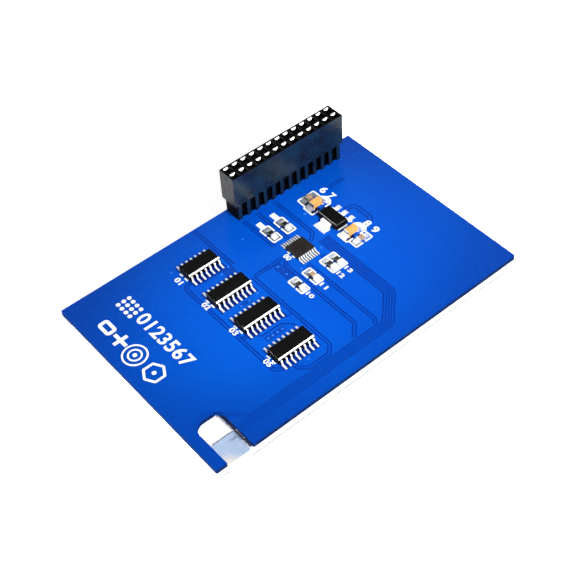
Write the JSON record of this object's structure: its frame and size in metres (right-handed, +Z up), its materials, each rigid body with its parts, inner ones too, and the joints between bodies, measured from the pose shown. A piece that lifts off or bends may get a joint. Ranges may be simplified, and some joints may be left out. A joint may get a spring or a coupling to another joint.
{
  "type": "tft display module",
  "caption": "Small colour display module with a resistive touch panel, driver electronics on its back and a raised socket header that plugs onto a small computer.",
  "frame": {"origin": "under the middle of the board, on the plane of the display's front face", "axes": "+X along the board towards the header's end, +Y towards the long edge that carries the header, +Z up from the display's front to the header"},
  "size_m": [0.0854, 0.056, 0.0197],
  "materials": {
    "board_blue": "glossy blue solder mask over copper and glass-fibre laminate",
    "header_black": "glossy black moulded thermoplastic",
    "contact_metal": "tin-plated phosphor bronze, bright",
    "lead_metal": "tin-plated copper alloy leads",
    "solder": "bright solder",
    "chip_black": "fine-textured black epoxy moulding",
    "controller_black": "fine-textured dark brown-black epoxy moulding",
    "capacitor_tan": "satin tan ceramic",
    "capacitor_buff": "satin buff ceramic",
    "alumina": "matt white alumina",
    "resistor_glaze": "dark glaze",
    "end_metal": "tin-plated end bands",
    "foam_white": "white double-sided foam tape",
    "reflector_white": "white reflective film",
    "frame_white": "white moulded polycarbonate",
    "guide_clear": "clear acrylic light guide",
    "lamp": "lamps with yellow phosphor",
    "film_white": "translucent white film",
    "polariser": "dark polarising film",
    "display_glass": "thin display glass",
    "silicon": "bare silicon chip",
    "flex_amber": "amber polyimide film",
    "gasket_white": "white foam gasket",
    "touch_glass": "clear soda-lime glass",
    "touch_film": "hard-coated polyester film",
    "bond": "adhesive film",
    "tail_film": "translucent film with silver tracks"
  },
  "bodies": {
    "root": {"pcb": "board_blue", "header_housing": "header_black", "header_spacer": "header_black", "header_front_contacts": "contact_metal", "header_back_contacts": "contact_metal", "header_solder": "solder", "inverter_body": "chip_black", "inverter_leads": "lead_metal", "counter_body": "chip_black", "counter_leads": "lead_metal", "shift_register_a_body": "chip_black", "shift_register_a_leads": "lead_metal", "shift_register_b_body": "chip_black", "shift_register_b_leads": "lead_metal", "logic_solder": "solder", "touch_controller_body": "controller_black", "touch_controller_leads": "lead_metal", "touch_controller_solder": "solder", "regulator_body": "chip_black", "regulator_leads": "lead_metal", "regulator_tab": "lead_metal", "regulator_solder": "solder", "input_capacitor_body": "capacitor_tan", "input_capacitor_ends": "end_metal", "output_capacitor_body": "capacitor_tan", "output_capacitor_ends": "end_metal", "power_capacitor_solder": "solder", "small_capacitor_bodies": "capacitor_buff", "small_capacitor_ends": "end_metal", "resistor_bodies": "alumina", "resistor_glaze": "resistor_glaze", "resistor_ends": "end_metal", "small_part_solder": "solder", "foam_tape": "foam_white", "reflector": "reflector_white", "backlight_frame": "frame_white", "light_guide": "guide_clear", "backlight_lamps": "lamp", "lamp_strip": "flex_amber", "diffuser": "film_white", "prism_sheet": "film_white", "rear_polariser": "polariser", "rear_glass": "display_glass", "front_glass": "display_glass", "front_polariser": "polariser", "display_driver": "silicon", "display_flex": "flex_amber", "display_flex_solder": "solder", "touch_gasket": "gasket_white", "touch_glass": "touch_glass", "touch_bond": "bond", "touch_film": "touch_film", "touch_tail": "tail_film", "touch_tail_solder": "solder"}
  },
  "joints": []
}
